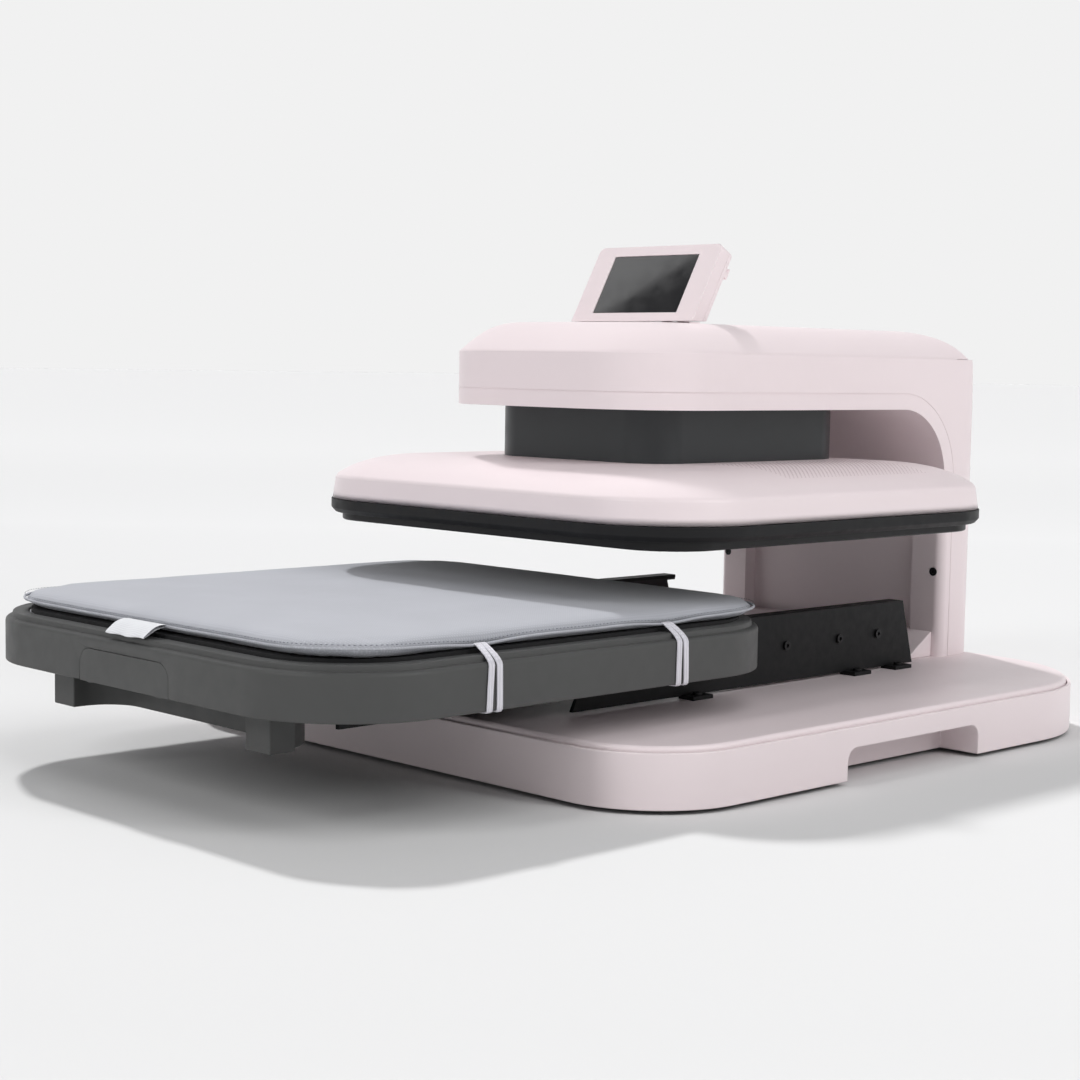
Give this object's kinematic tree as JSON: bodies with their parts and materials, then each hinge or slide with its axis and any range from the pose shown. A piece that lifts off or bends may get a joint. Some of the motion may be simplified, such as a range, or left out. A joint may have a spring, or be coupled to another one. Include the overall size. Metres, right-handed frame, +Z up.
{
  "type": "heat press",
  "caption": "Drawer-type heat press: a padded tray slides out from under a motor-lowered square heat platen on a C-shaped column, with a tilting touch screen on the head.",
  "frame": {"origin": "on the bench under the centre of the heat plate, which is also the centre of the foot bolt pattern", "axes": "+X to the operator's right, +Y to the back, +Z up; drawn with the tray fully pulled out towards -Y and the platen raised"},
  "size_m": [0.554, 0.7973, 0.3889],
  "materials": {
    "pink_cover": "smooth satin moulded plastic, pale pink",
    "black_trim": "fine satin black plastic",
    "black_steel": "black powder coat, fine orange peel",
    "grey_plastic": "fine-textured dark grey moulded plastic",
    "shroud_grey": "satin dark grey coated sheet",
    "coated_aluminium": "black non-stick coating on cast aluminium",
    "frame_steel": "bare and zinc-plated mild steel",
    "slide_steel": "black zinc-plated cold-rolled steel",
    "aluminium_bed": "mill-finish aluminium sheet",
    "rubber": "moulded black rubber",
    "mat_fabric": "light grey quilted fabric with a bound edge",
    "strap_elastic": "white woven elastic",
    "tag_fabric": "white folded satin label, blank",
    "silicone": "charcoal silicone foam",
    "insulation": "pressed ceramic-fibre board",
    "circuit_board": "green solder mask",
    "display_glass": "black backed cover glass",
    "screw_black": "black oxide",
    "switch_red": "translucent red rocker",
    "motor_grey": "grey painted gearbox"
  },
  "bodies": {
    "press_body": {"rubber_feet": "rubber", "bottom_plate": "black_steel", "base_shell": "pink_cover", "base_cover": "pink_cover", "base_frame": "frame_steel", "power_supply": "slide_steel", "rail_bracket_left": "black_steel", "rail_bracket_right": "black_steel", "rail_screws": "screw_black", "slide_outer_members": "slide_steel", "column_posts": "frame_steel", "head_arms": "frame_steel", "drive_frame": "frame_steel", "inner_cover": "pink_cover", "outer_cover": "pink_cover", "head_top_cover": "pink_cover", "foot_ramp": "pink_cover", "column_screws": "screw_black", "rear_panel": "black_trim", "power_inlet": "black_trim", "switch_body": "black_trim", "control_board": "circuit_board", "fan_frame": "black_trim", "gearmotor": "motor_grey", "linear_bushings": "slide_steel", "shaft_bearings": "slide_steel", "hinge_base": "pink_cover", "hinge_pin": "slide_steel"},
    "platen": {"heat_plate": "coated_aluminium", "heating_element": "frame_steel", "thermal_sensors": "slide_steel", "insulation_board": "insulation", "trim_band": "black_trim", "support_plate": "frame_steel", "platen_cover": "pink_cover", "guide_rods": "slide_steel", "lift_racks": "frame_steel", "ram_shroud": "shroud_grey"},
    "lift_shaft": {"pinion_shaft": "slide_steel", "pinions": "frame_steel"},
    "tray": {"tray_shell": "grey_plastic", "front_panel": "grey_plastic", "handle_bar": "grey_plastic", "tray_frame": "black_steel", "press_bed": "aluminium_bed", "bed_pad": "silicone", "mat": "mat_fabric", "mat_tag": "tag_fabric", "mat_straps": "strap_elastic", "slide_inner_members": "slide_steel"},
    "slide_middles": {"slide_middle_left": "slide_steel", "slide_middle_right": "slide_steel", "slide_balls": "slide_steel"},
    "screen": {"screen_bezel": "pink_cover", "screen_back": "pink_cover", "display_glass": "display_glass", "display_board": "circuit_board"},
    "power_rocker": {"switch_rocker": "switch_red"},
    "fan_wheel": {"fan_rotor": "black_trim"}
  },
  "joints": [
    {"name": "platen_press", "type": "slide", "parent": "press_body", "child": "platen", "axis": [0, 0, -1], "range_m": [0, 0.038]},
    {"name": "lift_shaft_turn", "type": "hinge", "parent": "press_body", "child": "lift_shaft", "pos_m": [0, 0.017, 0.25], "axis": [1, 0, 0], "range_deg": [0, 180]},
    {"name": "tray_slide", "type": "slide", "parent": "press_body", "child": "tray", "axis": [0, 1, 0], "range_m": [0, 0.286]},
    {"name": "slide_middle_travel", "type": "slide", "parent": "press_body", "child": "slide_middles", "axis": [0, 1, 0], "range_m": [0, 0.1435]},
    {"name": "screen_tilt", "type": "hinge", "parent": "press_body", "child": "screen", "pos_m": [0, -0.009, 0.3315], "axis": [-1, 0, 0], "range_deg": [0, 55]},
    {"name": "power_switch", "type": "hinge", "parent": "press_body", "child": "power_rocker", "pos_m": [0.026, 0.274, 0.09], "axis": [0, 0, 1], "range_deg": [0, 9]},
    {"name": "fan_spin", "type": "hinge", "parent": "press_body", "child": "fan_wheel", "pos_m": [0, 0.27, 0.195], "axis": [0, 1, 0], "continuous": true}
  ],
  "couplings": [
    {"joint": "lift_shaft_turn", "follows": "platen_press", "rad_per_m": 81.633},
    {"joint": "slide_middle_travel", "follows": "tray_slide", "ratio": 0.5}
  ]
}
